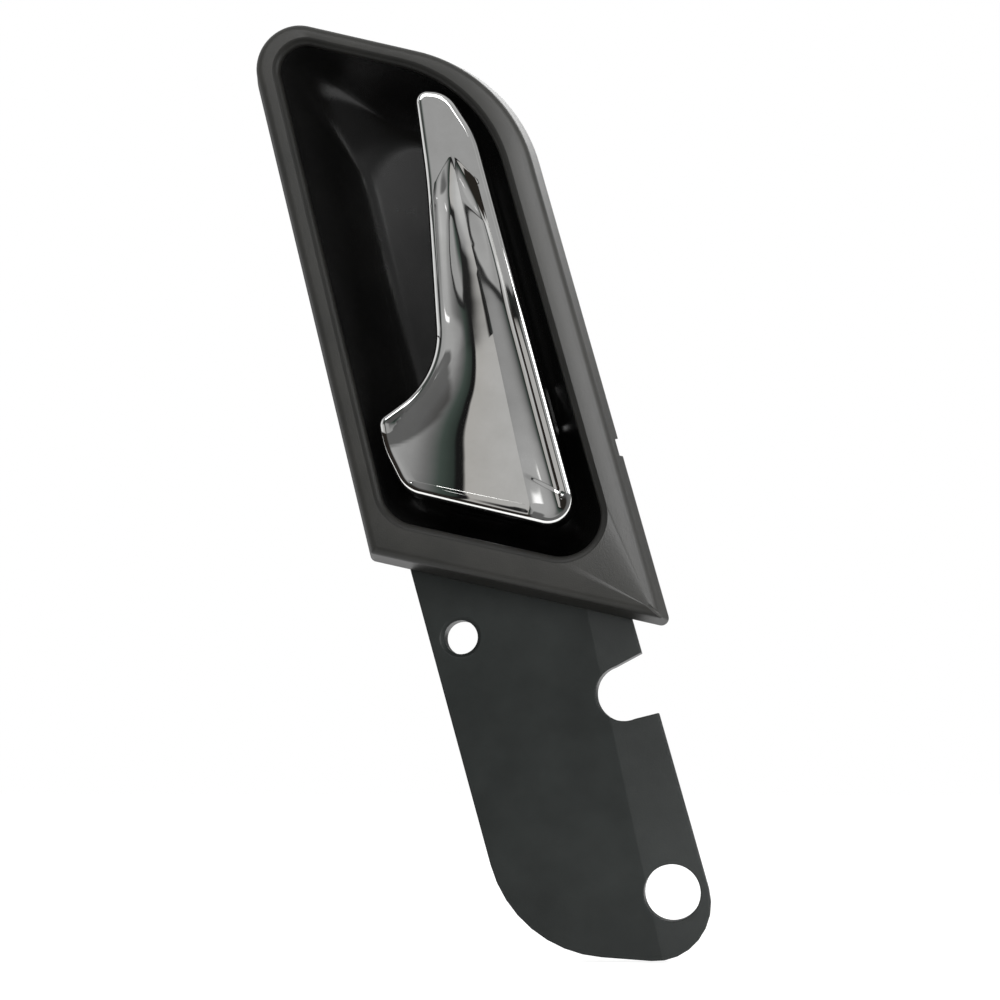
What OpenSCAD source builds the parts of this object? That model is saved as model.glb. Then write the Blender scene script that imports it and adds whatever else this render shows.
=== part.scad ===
// Car interior door handle: a trim surround with a finger bowl, a plated pull
// lever on a sprung hinge, and a base moulding with two fixing holes.
// X runs across the door, Z is up, and the front faces -Y. The origin is the
// centre of the upper fixing hole on the rear mounting face.

/* [Surround] */
// Length of the surround's lower edge
rim_w = 84; // [78:0.5:90]
// Length of the surround's left edge
rim_l = 161; // [155:0.5:168]
// Lean of the left edge from the vertical
left_lean = 13.9; // [13:0.1:15]
// Lean of the right edge from the vertical
right_lean = 15.4; // [14.5:0.1:16.5]
// Fall of the lower edge towards the right
bottom_fall = 13.1; // [12:0.1:14]
// Fall of the upper edge towards the right
top_fall = 15.1; // [14:0.1:16]
// Depth of the surround's outer wall
rim_h = 9.5; // [8:0.5:12]
// Radius of the upper left outer corner
corner_tl = 13.5; // [10:0.5:15]
// Radius of the upper right outer corner
corner_tr = 46; // [38:1:50]
// Radius of the two lower outer corners
corner_low = 2; // [1.5:0.1:3]
// Radius that rolls the face over into the outer wall
edge_r = 2.4; // [1.5:0.1:3]
// Outward flare of the outer wall towards the door
flare = 1.4; // [0.5:0.1:2]
// Wall of the surround and its bowl
skin_t = 2.2; // [1.8:0.1:2.4]

/* [Finger bowl] */
// Width of the rim along the top of the bowl
lip_top = 7; // [6.5:0.1:9]
// Width of the rim along the right of the bowl
lip_right = 9.5; // [8.5:0.1:10.5]
// Width of the rim below the bowl
lip_bottom = 11.5; // [10.5:0.1:12.5]
// Width of the rim along the left of the bowl
lip_left = 8; // [7.5:0.1:9.5]
// Depth of the bowl below the face
bowl_d = 32; // [30:0.5:33]
// Radius of the bowl's mouth edge
mouth_r = 2; // [1.2:0.1:2.5]
// How far the bowl's left side runs in on its way down
scoop_left = 16; // [14:0.5:17]
// How far the bowl's top runs in on its way down
scoop_top = 14; // [12:0.5:15]
// How far the bowl's right side runs in on its way down
scoop_right = 10; // [8:0.5:11]
// How far the bowl's lower side runs in on its way down
scoop_bottom = 10; // [8:0.5:11]

/* [Base] */
// Gap between the surround's rear edge and the base plate
seat_gap = 0.5; // [0.3:0.1:1]
// Depth of the base plate's skirt
skirt_h = 8; // [7:0.5:10]
// Wall of the base plate's face
plate_t = 2.5; // [2:0.1:3]
// Wall of the base plate's skirt
skirt_t = 2; // [1.6:0.1:2.4]
// Width of the base plate, square to its sides
plate_w = 54.3; // [52:0.5:58]
// Distance from the upper fixing hole to the plate's left side
plate_edge = 8.4; // [8:0.1:10]
// Lean of the plate's two sides
plate_lean = 15.5; // [15:0.1:16]
// Drop from the upper fixing hole to the plate's lower edge
plate_drop = 82.7; // [81:0.1:86]
// Radius of the plate's lower left corner
plate_r_left = 33; // [28:0.5:35]
// Radius of the plate's lower right corner
plate_r_right = 14.8; // [12:0.2:16]
// Diameter of the upper fixing hole
hole_a_d = 9.2; // [8:0.2:10]
// Diameter of the lower fixing hole
hole_b_d = 15; // [13:0.2:15.6]
// Sideways offset of the lower fixing hole from the upper one
hole_b_x = 56.7; // [55.5:0.1:57]
// Drop of the lower fixing hole below the upper one
hole_b_drop = 68.2; // [66:0.2:70]
// Diameter of the side notch
notch_d = 15; // [13:0.5:16]
// Drop of the side notch below the upper fixing hole
notch_drop = 15.3; // [14:0.1:18]
// Slope of the plate's right-hand strip towards the door
strip_tilt = 5; // [3:0.5:6]

/* [Lever] */
// Height of the lever's tip, as a share of the surround's left edge
lever_tip = 0.9; // [0.88:0.002:0.905]
// Thickness of the lever's plated shell
shell_t = 2; // [1.6:0.1:2.2]
// Depth of the lever's side walls
lever_h = 7.5; // [7:0.1:8]
// Radius of the lever's front edge
lever_edge_r = 1.8; // [1.2:0.1:2]
// Width of the flat border inside the rounded edge
border_w = 1.2; // [0.8:0.1:1.6]
// Depth of the hollow between the border and the ridge
hollow_d = 1.7; // [1:0.1:2]
// Drop of the ridge below the border at mid length
ridge_drop = 0.5; // [0.3:0.1:0.8]

/* [Hinge] */
// Height of the hinge pin above the upper fixing hole
pivot_z = 52; // [50:0.5:54]
// Distance of the hinge pin behind the lever's face
pivot_back = 12; // [11.5:0.1:12.5]
// Diameter of the hinge pin
pin_d = 5; // [4:0.1:5.4]
// Outer radius of the hinge eyes
eye_r = 4.5; // [4.3:0.1:4.6]
// Distance between the two fixed ears
ear_span = 24; // [22:0.5:25]
// Thickness of each fixed ear
ear_t = 3; // [2.5:0.1:3.5]
// Length of the crank arm, from the pin to the cable eye
crank_l = 31; // [30:0.5:32]
// Width of the crank arm along the pin
crank_w = 5; // [4:0.2:6]
// Opening angle of the lever
open_angle = 30; // [25:1:30]
// Diameter of the spring wire
wire_d = 1.2; // [1:0.1:1.3]
// Number of turns of the spring
spring_turns = 5.25; // [3.25:1:6.25]

/* [Fixings] */
// Diameter of the cable eye
cable_eye_d = 5.2; // [4.5:0.1:5.6]
// Shank diameter of the surround's screws
screw_d = 2.8; // [2.4:0.1:3.2]
// Head diameter of the surround's screws
screw_head_d = 6.8; // [6:0.2:8]
// Shank diameter of the lever's screws
lever_screw_d = 2.2; // [2:0.1:2.4]

/* [Hidden] */

// Small helper values
eps = 0.01;
far = 200;
arc_steps = 8;
run_gap = 0.3;
pin_gap = 0.05;
$fn = 48;

// Levels from front to back
plate_y = -skirt_h;
rim_back_y = plate_y - seat_gap;
face_y = rim_back_y - rim_h;
floor_y = face_y + bowl_d;
frame_gap = 2.6;
frame_t = 2.5;
frame_y = floor_y + skin_t + frame_gap;
frame_back_y = frame_y + frame_t;

// Plane geometry: clockwise outlines of corners [x, z, radius]
function unit(v) = v / norm(v);
function flat(c) = [c[0], c[1]];
function heading(a, b) = unit(flat(b) - flat(a));
function inward(d) = [d[1], -d[0]];
function turn(a, b) = a[0] * b[1] - a[1] * b[0];
function wrapped(list, i) = list[(i + len(list)) % len(list)];
function beside(p, d, along, in) = p + d * along + inward(d) * in;
function joined(lists) = [for (l = lists) each l];

// Point where the line through p along d meets the line through q along e
function crossing(p, d, q, e) = p + d * (turn(q - p, e) / turn(d, e));

// One corner of an outline after its two edges move inwards
function moved_corner(c0, c1, c2, d0, d1) =
    let (a = heading(c0, c1), b = heading(c1, c2), p = inward(a), q = inward(b), k = turn(p, q))
    [c1[0] + (d0 * q[1] - d1 * p[1]) / k, c1[1] + (p[0] * d1 - q[0] * d0) / k,
     max(turn(a, b) < 0 ? c1[2] - (d0 + d1) / 2 : c1[2] + (d0 + d1) / 2, 0.6)];

// An outline with each edge moved inwards by its own distance
function inset(c, d) = [for (i = [0:len(c) - 1])
    moved_corner(wrapped(c, i - 1), c[i], wrapped(c, i + 1),
                 is_list(d) ? wrapped(d, i - 1) : d, is_list(d) ? d[i] : d)];

// An outline with its corner radii replaced
function with_radii(c, r) = [for (i = [0:len(c) - 1]) [c[i][0], c[i][1], r[i]]];

// The arc that rounds one corner
function corner_arc(c0, c1, c2, n) =
    let (a = heading(c0, c1), b = heading(c1, c2), s = turn(a, b) < 0 ? 1 : -1,
         phi = acos(min(1, a * b)), start = flat(c1) - a * c1[2] * tan(phi / 2),
         mid = start + s * c1[2] * inward(a), arm = start - mid)
    [for (k = [0:n]) let (t = -s * phi * k / n)
        mid + [arm[0] * cos(t) - arm[1] * sin(t), arm[0] * sin(t) + arm[1] * cos(t)]];

// An outline as points, with n steps in each corner
function rounded(c, n = arc_steps) = joined([for (i = [0:len(c) - 1])
    corner_arc(wrapped(c, i - 1), c[i], wrapped(c, i + 1), n)]);

function raised(points, y) = [for (p = points) [p[0], y, p[1]]];

// Slab between two depths from a plane shape drawn in X and Z
module slab(front, back) {
    translate([0, back, 0]) rotate([90, 0, 0]) linear_extrude(back - front) children();
}

// Prism along X from a plane shape drawn in Y and Z
module bar(x0, x1) {
    translate([x0, 0, 0]) rotate([90, 0, 90]) linear_extrude(x1 - x0) children();
}

// Round rod along Y
module rod(x, z, front, back, r) {
    translate([x, back, z]) rotate([90, 0, 0]) cylinder(h = back - front, r = r);
}

// Box by its two corners
module block(lo, hi) {
    translate(lo) cube(hi - lo);
}

// Solid skin over rings of equal length, closed by the first and last ring
module loft(rings) {
    n = len(rings[0]);
    last = len(rings) - 1;
    sides = [for (i = [0:last - 1]) for (j = [0:n - 1])
        let (a = i * n + j, b = i * n + (j + 1) % n)
        each [[a, b + n, b], [a, a + n, b + n]]];
    polyhedron(joined(rings), concat(sides, [[for (j = [0:n - 1]) j]],
                                     [[for (j = [n - 1:-1:0]) last * n + j]]));
}

// Closed band over rings of equal length, whose last ring joins the first
module loop(rings) {
    n = len(rings[0]);
    last = len(rings) - 1;
    sides = [for (i = [0:last - 1]) for (j = [0:n - 1])
        let (a = i * n + j, b = i * n + (j + 1) % n)
        each [[a, b + n, b], [a, a + n, b + n]]];
    seam = [for (j = [0:n - 1])
        let (b = (j + 1) % n) each [[j, b, last * n + b], [j, last * n + b, last * n + j]]];
    polyhedron(joined(rings), concat(sides, seam));
}

// Scale of the corner radii and the bowl's slopes against the size they are drawn for
drawn_w = 84;
drawn_l = 161;
fit = min(rim_w / drawn_w, rim_l / drawn_l);

// Surround outline at its rear edge, clockwise from the upper left corner
bl = [-24.5, 21];
left_up = [-sin(left_lean), cos(left_lean)];
right_up = [-sin(right_lean), cos(right_lean)];
along_bottom = [cos(bottom_fall), -sin(bottom_fall)];
along_top = [cos(top_fall), -sin(top_fall)];
tl = bl + left_up * rim_l;
br = bl + along_bottom * rim_w;
tr = crossing(tl, along_top, br, right_up);
rim = [[tl[0], tl[1], corner_tl * fit], [tr[0], tr[1], corner_tr * fit],
       [br[0], br[1], corner_low], [bl[0], bl[1], corner_low]];
mouth_radii = [7, 41, 10.8, 11] * fit;
floor_radii = [11, 22, 9, 12] * fit;
mouth = with_radii(inset(rim, [lip_top, lip_right, lip_bottom, lip_left]), mouth_radii);
scoop = [scoop_top, scoop_right, scoop_bottom, scoop_left] * fit;
bowl_steps = 8;
edge_steps = 3;

// Point by its shares of the surround's lower and left edges
function at(u, v) = bl + along_bottom * (u * rim_w) + left_up * (v * rim_l);

// Bowl outline at a stage of its depth, grown outwards by the wall
function bowl_ring(k, wall) =
    let (a = 90 * k / bowl_steps, run = 1 - cos(a), depth = mouth_r + (bowl_d - mouth_r + wall) * sin(a),
         radii = mouth_radii + (floor_radii - mouth_radii) * run)
    raised(rounded(with_radii(inset(mouth, [for (e = scoop) e * run - wall]), [for (r = radii) r + wall])),
           face_y + depth);

// Rounded lip between the face and the bowl
function lip_ring(k) =
    let (a = 90 * k / edge_steps)
    raised(rounded(inset(mouth, -mouth_r * (1 - sin(a)))), face_y + mouth_r * (1 - cos(a)));

// Rounded edge between the face and the outer wall
function edge_ring(k) =
    let (a = 90 * k / edge_steps)
    raised(rounded(inset(rim, flare + edge_r * (1 - sin(a)))), face_y + edge_r * (1 - cos(a)));

// Rear end of the joint between the bezel and the bowl
under_ring = raised(rounded(inset(mouth, -skin_t)), face_y + skin_t);

module bezel_skin() {
    loop(concat([lip_ring(0)],
        [for (k = [0:edge_steps]) edge_ring(k)],
        [raised(rounded(rim), rim_back_y),
         raised(rounded(inset(rim, skin_t)), rim_back_y),
         raised(rounded(inset(rim, skin_t + flare)), face_y + skin_t),
         under_ring]));
}

module bowl_skin() {
    loft(concat(
        [for (k = [bowl_steps:-1:0]) bowl_ring(k, 0)],
        [for (k = [edge_steps - 1:-1:0]) lip_ring(k)],
        [under_ring],
        [for (k = [1:bowl_steps]) bowl_ring(k, skin_t)]));
}

// Positions along the hinge pin
hinge_u = 0.4886;
hinge_mid = crossing(at(hinge_u, 0), left_up, [0, pivot_z], [1, 0])[0];
ear_half = ear_span * fit / 2;
ear_in = [hinge_mid - ear_half, hinge_mid + ear_half];
ear_out = [ear_in[0] - ear_t, ear_in[1] + ear_t];
crank_x = [ear_in[1] - run_gap - crank_w, ear_in[1] - run_gap];
lug_t = 3;
lug_x = [ear_in[0] + run_gap, ear_in[0] + run_gap + lug_t];
pivot_y = face_y + pivot_back;
pin_r = pin_d / 2;
crank_half = 4;
crank_end_r = cable_eye_d / 2 + 2.2;
cable_y = pivot_y + crank_l;
cable_x = (crank_x[0] + crank_x[1]) / 2;

// Window behind the crank, with a rubber buffer on two of its edges
nose_r = 3;
edge_grip = 2.7;
buffer_wall = 2.1;
frame_mid_y = (frame_y + frame_back_y) / 2;
nose_reach = crank_end_r + run_gap + nose_r;
rest_drop = sqrt(max(0, pow(nose_reach, 2) - pow(cable_y - frame_mid_y, 2)));
rest_z = pivot_z - max(crank_half + run_gap + nose_r, rest_drop);
open_end = [pivot_y + crank_l * cos(open_angle), pivot_z + crank_l * sin(open_angle)];
stop_z = open_end[1] + sqrt(pow(nose_reach, 2) - pow(open_end[0] - frame_mid_y, 2));
window_x = [crank_x[0] - 2, ear_in[1] + 0.2];
window_z = [rest_z - edge_grip, stop_z + edge_grip];

// Depth of the bowl below the face at a point, or so far further in from its edges
function edge_share(p, i, more) = let (c = mouth[i], d = heading(c, wrapped(mouth, i + 1)))
    max(0, 1 - ((p - flat(c)) * inward(d) + more) / scoop[i]);
function bowl_depth(p, more) = let (s = max([for (i = [0:3]) edge_share(p, i, more)]))
    mouth_r + (bowl_d - mouth_r) * sqrt(1 - min(1, s * s));

// Screw posts behind the bowl, each from the bowl's wall to the frame
posts = [at(0.1613, 0.8195), at(0.6965, 0.8399), at(0.7873, 0.2175), at(0.1898, 0.3111)];
post_r = 3.4;
post_sink = 0.3;
function post_front(p) = face_y + bowl_depth(p, post_r) + post_sink;
pilot_depth = 4;
pilot_r = screw_d / 2;

// Openings in the bowl's floor for the ears and for the crank
ear_gap = 1;
ear_root = 6.5;
slot_rise = bowl_d * 0.09375;
floor_slot_z = [pivot_z - ear_root - 1.5, pivot_z + ear_root + 1];
crank_slot_top = pivot_z + (floor_y + skin_t - pivot_y) * tan(open_angle)
                 + crank_half / cos(open_angle) + 1;

// Nick in the rear edge of the surround's right wall
nick_at = 51;
nick_l = 5;
nick_depth = 0.8;

module bezel() {
    nick = br + right_up * nick_at;
    color("#33322f") difference() {
        bezel_skin();
        translate([nick[0], rim_back_y, nick[1]]) rotate([0, -right_lean, 0])
            block([-nick_depth, -4, -nick_l / 2], [2, 1, nick_l / 2]);
    }
}

module finger_bowl() {
    slot_y = floor_y - slot_rise;
    color("#2c2b29") difference() {
        union() {
            bowl_skin();
            for (p = posts) rod(p[0], p[1], post_front(p), frame_y, post_r);
        }
        for (p = posts) rod(p[0], p[1], frame_y - pilot_depth, frame_y + eps, pilot_r);
        block([ear_out[0] - ear_gap, slot_y, floor_slot_z[0]],
              [ear_out[1] + ear_gap, floor_y + skin_t + 1, floor_slot_z[1]]);
        block([crank_x[0] - ear_gap, slot_y, floor_slot_z[0]],
              [crank_x[1] + ear_gap, floor_y + skin_t + 1, crank_slot_top]);
    }
}

// Base plate outline, clockwise from the upper left corner
plate_up = [-sin(plate_lean), cos(plate_lean)];
plate_out = inward(plate_up);
plate_fall = 3.7;
shelf_in = 7.6;
shelf_t = 2.5;
plate_right_p = plate_out * (plate_w - plate_edge);
shelf_p = bl + shelf_in * [sin(bottom_fall), cos(bottom_fall)];
low_p = [0, -plate_drop];
along_low = [cos(plate_fall), -sin(plate_fall)];
p_tl = crossing(plate_out * -plate_edge, plate_up, shelf_p, along_bottom);
p_tr = crossing(plate_right_p, plate_up, shelf_p, along_bottom);
p_br = crossing(plate_right_p, plate_up, low_p, along_low);
p_bl = crossing(plate_out * -plate_edge, plate_up, low_p, along_low);
plate = [[p_tl[0], p_tl[1], 2.5], [p_tr[0], p_tr[1], 2.5],
         [p_br[0], p_br[1], plate_r_right], [p_bl[0], p_bl[1], plate_r_left]];

// Side notch: a round end between two lips that open to the right
notch_in = 7.4;
notch_upper = 28;
notch_lower = 14;
notch_c = crossing([0, -notch_drop], [1, 0], plate_right_p - plate_out * notch_in, plate_up);
module notch_shape(grow) {
    r = notch_d / 2 + grow;
    upper = notch_c + (r - 0.1) * [-sin(notch_upper), cos(notch_upper)];
    lower = notch_c + (r - 0.1) * [sin(notch_lower), -cos(notch_lower)];
    reach = 30;
    translate(notch_c) circle(r);
    polygon([notch_c, upper, upper + reach * [cos(notch_upper), sin(notch_upper)],
             lower + reach * [cos(notch_lower), sin(notch_lower)], lower]);
}

// Plate outline moved inwards, less the notch
module plate_shape(in) {
    difference() {
        polygon(rounded(inset(plate, in)));
        notch_shape(in);
    }
}

// Block under the plate's face, whose right-hand strip slopes back
strip_lean = 12;
strip_in = 10.8;
strip_w = 30;
module plate_block(in, front, back) {
    fold = plate_right_p - plate_out * strip_in;
    difference() {
        slab(front, back) plate_shape(in);
        translate([fold[0], front, fold[1]]) rotate([0, -strip_lean, 0])
            translate([0, 0, -far]) linear_extrude(2 * far)
                polygon([[0, -1], [0, 0], [strip_w, strip_w * tan(strip_tilt)], [strip_w, -1]]);
    }
}

// Fixing holes, each with a collar down to the mounting face
hole_a_r = hole_a_d / 2;
hole_b_r = hole_b_d / 2;
hole_b = [hole_b_x, -hole_b_drop];
collar_t = 2.2;
lead_in = 1;
module collars() {
    rod(0, 0, plate_y + plate_t - 1, 0, hole_a_r + collar_t);
    intersection() {
        rod(hole_b[0], hole_b[1], plate_y + plate_t - 1, 0, hole_b_r + collar_t);
        slab(plate_y, 0) plate_shape(0);
    }
}
module hole_cuts() {
    rod(0, 0, plate_y - 1, 1, hole_a_r);
    rod(hole_b[0], hole_b[1], plate_y - 1, 1, hole_b_r);
    translate([0, plate_y, 0]) rotate([-90, 0, 0])
        translate([0, 0, -eps]) cylinder(h = lead_in, r1 = hole_a_r + lead_in, r2 = hole_a_r);
}

// Stiffening ribs inside the plate's skirt
rib_t = 1.5;
rib_back = -1.5;
cross_ribs = [-14, -34, -54];
long_ribs = [18, 34];
module plate_ribs() {
    slab(plate_y + 1.5, rib_back) intersection() {
        plate_shape(skirt_t / 2);
        union() {
            for (z = cross_ribs) translate([0, z]) rotate(-bottom_fall)
                translate([-far, -rib_t / 2]) square([2 * far, rib_t]);
            for (x = long_ribs) translate(x * plate_out) rotate(plate_lean)
                translate([-rib_t / 2, -far]) square([rib_t, 2 * far]);
        }
    }
}

// Shelf from the plate's upper wall back to the rear frame, on three gussets
gusset_at = [0.12, 0.5, 0.88];
gusset_drop = 15;
module shelf() {
    a = p_tl + along_bottom * 4.5;
    b = p_tr - along_bottom * 2;
    down = -shelf_t * [sin(bottom_fall), cos(bottom_fall)];
    slab(plate_y + 1, frame_y) polygon([a, b, b + down, a + down]);
    for (s = gusset_at) let (p = a + (b - a) * s, z = p[1] - 1)
        bar(p[0] - rib_t / 2, p[0] + rib_t / 2)
            polygon([[plate_y + 1, z], [frame_y - 1, z], [plate_y + plate_t, z - gusset_drop],
                     [plate_y + 1, z - gusset_drop]]);
}

module base_plate() {
    color("#2b2f2f") difference() {
        union() {
            difference() {
                plate_block(0, plate_y, 0);
                plate_block(skirt_t, plate_y + plate_t, eps);
            }
            plate_ribs();
            collars();
            shelf();
        }
        hole_cuts();
    }
}

// Frame behind the bowl, whose lower edge stands on the shelf's rear end
frame_low = -(lip_bottom - shelf_in + shelf_t);
frame_radii = [9, 38, 8, 8] * fit;
frame_line = with_radii(inset(mouth, [3, 1, frame_low, 1]), frame_radii);
frame_edge = 9;
window_rise = 33;
window_low = pivot_z + window_rise;
window_step = 21;
frame_bar = 4.5;
module frame_shape() {
    difference() {
        polygon(rounded(frame_line));
        intersection() {
            polygon(rounded(inset(frame_line, frame_edge)));
            union() for (i = [0:2])
                translate([-far, window_low + i * window_step]) square([2 * far, window_step - frame_bar]);
            for (s = [-1, 1]) translate([hinge_mid, pivot_z]) rotate((left_lean + right_lean) / 2)
                translate([s > 0 ? frame_bar / 2 : -far, 0]) square([far - frame_bar / 2, far]);
        }
        translate([window_x[0], window_z[0]])
            square([window_x[1] - window_x[0], window_z[1] - window_z[0]]);
        for (p = posts) translate([p[0], p[1]]) circle(pilot_r + 0.5);
    }
}

// Ears that carry the hinge pin
module ear(x0) {
    difference() {
        bar(x0, x0 + ear_t) {
            translate([pivot_y, pivot_z]) circle(eye_r);
            polygon([[pivot_y, pivot_z - eye_r], [frame_mid_y, pivot_z - ear_root],
                     [frame_mid_y, pivot_z + ear_root], [pivot_y, pivot_z + eye_r]]);
        }
        bar(x0 - 1, x0 + ear_t + 1) translate([pivot_y, pivot_z]) circle(pin_r);
    }
}

// Return spring: mean radius, pitch, and the peg that holds its fixed leg
coil_r = 3.9;
coil_pitch = wire_d + 0.15;
coil_x = ear_in[0] + run_gap + lug_t + 1.5;
leg_l = 17;
leg_down = 13;
peg_r = 1.8;
peg_y = pivot_y + leg_l - 1;
peg_z = pivot_z + coil_r + wire_d / 2 + 0.1 + peg_r;
module spring_peg() {
    bar(ear_in[0] - 1, coil_x + 2.5) translate([peg_y, peg_z]) circle(peg_r);
}

// Slotted bracket on the rear frame that the cable's outer end drops into
abut_z = 21;
abut_t = 4;
abut_half = 7;
cable_slot_r = 2.7;
gusset_rise = 9;
foot_t = 0.8;
foot_gap = 0.2;
slot_back = 5;
module cable_bracket() {
    slot_y = frame_back_y + foot_t + foot_gap + cable_slot_r;
    back = slot_y + slot_back;
    color("#2b2f2f") difference() {
        block([cable_x - abut_half, frame_back_y, abut_z],
              [cable_x + abut_half, back, abut_z + abut_t]);
        translate([cable_x, slot_y, abut_z - 1]) cylinder(h = abut_t + 2, r = cable_slot_r);
        block([cable_x - cable_slot_r, slot_y, abut_z - 1],
              [cable_x + cable_slot_r, back + 1, abut_z + abut_t + 1]);
    }
    color("#2b2f2f") block([cable_x - abut_half, frame_back_y, abut_z],
                           [cable_x + abut_half, frame_back_y + foot_t, abut_z + abut_t + gusset_rise]);
    color("#2b2f2f") for (x = [cable_x - abut_half, cable_x + abut_half - rib_t])
        bar(x, x + rib_t) polygon([[frame_back_y, abut_z + 1], [frame_back_y, abut_z + abut_t + gusset_rise],
            [back - 1, abut_z + abut_t], [back - 1, abut_z + 1]]);
}

// Hooks above the bowl that catch behind the door's inner panel
hook_w = 8;
hook_y = 1;
hook_t = 2.5;
hook_catch = 5;
hook_foot = 8;
hook_at = [0.321, 0.512];
module hooks() {
    for (u = hook_at) let (p = beside(tl, along_top, u * rim_w, lip_top - 0.5))
        translate([p[0], 0, p[1]]) rotate([0, top_fall, 0]) {
            block([0, hook_y, 0], [hook_w, hook_y + hook_t, hook_catch]);
            block([0, hook_y, 0], [hook_w, frame_back_y, hook_t]);
            block([0, frame_y, -hook_foot], [hook_w, frame_back_y, hook_t]);
        }
}

module rear_frame() {
    color("#2b2f2f") {
        slab(frame_y, frame_back_y) frame_shape();
        ear(ear_out[0]);
        ear(ear_in[1]);
        spring_peg();
        hooks();
    }
}

// Lever outline, clockwise from the tip's left corner: two shares and a radius each
lever_shares = [[0.5755, lever_tip, 3.2], [0.6971, lever_tip + 0.0084, 9],
                [0.7585, lever_tip - 0.0634, 30], [0.7819, 0.1311, 7], [0.1872, 0.1373, 9],
                [0.1505, 0.2071, 25], [0.1583, 0.2599, 3.2], [0.4115, 0.3662, 23],
                [0.5368, 0.7244, 200]];
lever_line = [for (c = lever_shares) concat(at(c[0], c[1]), c[2] * fit)];
lever_n = 6;
fold_step = 3;
side_cuts = [1, 1, 2, 8];
left_count = 4 * lever_n + side_cuts[0] + side_cuts[1] + side_cuts[2] + side_cuts[3];
lever_cuts = [1, 1, left_count - lever_n / 2 + fold_step, 10, each side_cuts, 5];
function ring_start(i) = i == 0 ? 0 : ring_start(i - 1) + lever_n + lever_cuts[i - 1];
ring_len = ring_start(9);
right_first = ring_start(2) + lever_n + fold_step;
right_last = ring_start(3) + lever_n / 2;
left_first = ring_start(4) + lever_n / 2;
left_last = ring_start(8) + lever_n / 2;
ridge_n = right_last - right_first;

// Lever outline as points, with its straight stretches cut into equal steps
function lever_ring(in, y) =
    let (c = inset(lever_line, in), m = len(c),
         arcs = [for (i = [0:m - 1]) corner_arc(wrapped(c, i - 1), c[i], wrapped(c, i + 1), lever_n)])
    raised(joined([for (i = [0:m - 1]) let (a = arcs[i][lever_n], b = wrapped(arcs, i + 1)[0])
        concat(arcs[i], [for (k = [1:1:lever_cuts[i] - 1]) a + (b - a) * k / lever_cuts[i]])]), y);

// Ridge down the lever's face, from the fold below the tip to the lower edge
ridge_top = lever_tip - 0.11;
ridge_line = [at(0.6546, ridge_top), at(0.6434, 0.6216), at(0.6425, 0.4929), at(0.6261, 0.2644),
              at(0.6178, 0.1872)];
ridge_len = [for (i = [0:3]) norm(ridge_line[i + 1] - ridge_line[i])];
function run_to(i) = i == 0 ? 0 : run_to(i - 1) + ridge_len[i - 1];
function ridge_point(f, i = 0) = let (s = f * run_to(4))
    i == 3 || s <= run_to(i + 1)
        ? ridge_line[i] + (ridge_line[i + 1] - ridge_line[i]) * (s - run_to(i)) / ridge_len[i]
        : ridge_point(f, i + 1);
function ridge_index(j) = j >= right_first && j <= right_last ? j - right_first
    : j > right_last && j < left_first ? ridge_n
    : j >= left_first && j <= left_last ? left_last - j : 0;

// Depth of the face below its border, at share s of the way to ridge point k
function fold_in(k) = 1 - pow(1 - min(1, k / 4), 2);
function fold_out(k) = 0.55 + 0.45 * min(1, (ridge_n - k) / 6);
function hollow(k, s) = fold_in(k) * (hollow_d * fold_out(k) * sin(180 * pow(s, 0.6))
    + ridge_drop * sin(180 * k / ridge_n) * s);
border_in = lever_edge_r + border_w;
function field_ring(s, y) = let (edge = lever_ring(border_in, y))
    [for (j = [0:ring_len - 1]) let (k = ridge_index(j), q = ridge_point(k / ridge_n))
        [edge[j][0] + (q[0] - edge[j][0]) * s, y + hollow(k, s), edge[j][2] + (q[1] - edge[j][2]) * s]];
function ridge_row(y) = [for (k = [0:ridge_n]) let (q = ridge_point(k / ridge_n))
    [q[0], y + hollow(k, 1), q[1]]];

// Levels of the lever from front to back
lever_back_y = face_y + lever_h;
core_back_y = lever_back_y - 0.4;
core_t = 2.4;
core_front_y = core_back_y - core_t;
inner_y = face_y + shell_t;
draft = 0.4;
field_steps = [0.8, 0.62, 0.45, 0.3, 0.16, 0.06];

module lever_skin() {
    rings = concat(
        [for (s = field_steps) field_ring(s, face_y)],
        [lever_ring(border_in, face_y)],
        [for (k = [0:edge_steps]) let (a = 90 * k / edge_steps)
            lever_ring(lever_edge_r * (1 - sin(a)), face_y + lever_edge_r * (1 - cos(a)))],
        [lever_ring(-draft, lever_back_y), lever_ring(shell_t - draft, lever_back_y),
         lever_ring(shell_t, inner_y + 0.6), lever_ring(border_in, inner_y),
         field_ring(0.16, inner_y), field_ring(0.45, inner_y)]);
    front = ridge_row(face_y);
    back = ridge_row(inner_y);
    n = ring_len;
    last = len(rings) - 1;
    front_0 = n * len(rings);
    back_0 = front_0 + ridge_n + 1;
    sides = [for (i = [0:last - 1]) for (j = [0:n - 1])
        let (a = i * n + j, b = i * n + (j + 1) % n) each [[a, b + n, b], [a, a + n, b + n]]];
    front_fan = [for (j = [0:n - 1])
        let (b = (j + 1) % n, p = front_0 + ridge_index(j), q = front_0 + ridge_index(b))
        each concat([[j, b, q]], p == q ? [] : [[j, q, p]])];
    back_fan = [for (j = [0:n - 1])
        let (a = last * n + j, b = last * n + (j + 1) % n,
             p = back_0 + ridge_index(j), q = back_0 + ridge_index((j + 1) % n))
        each concat([[a, q, b]], p == q ? [] : [[a, p, q]])];
    polyhedron(concat(joined(rings), front, back), concat(sides, front_fan, back_fan));
}

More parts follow.
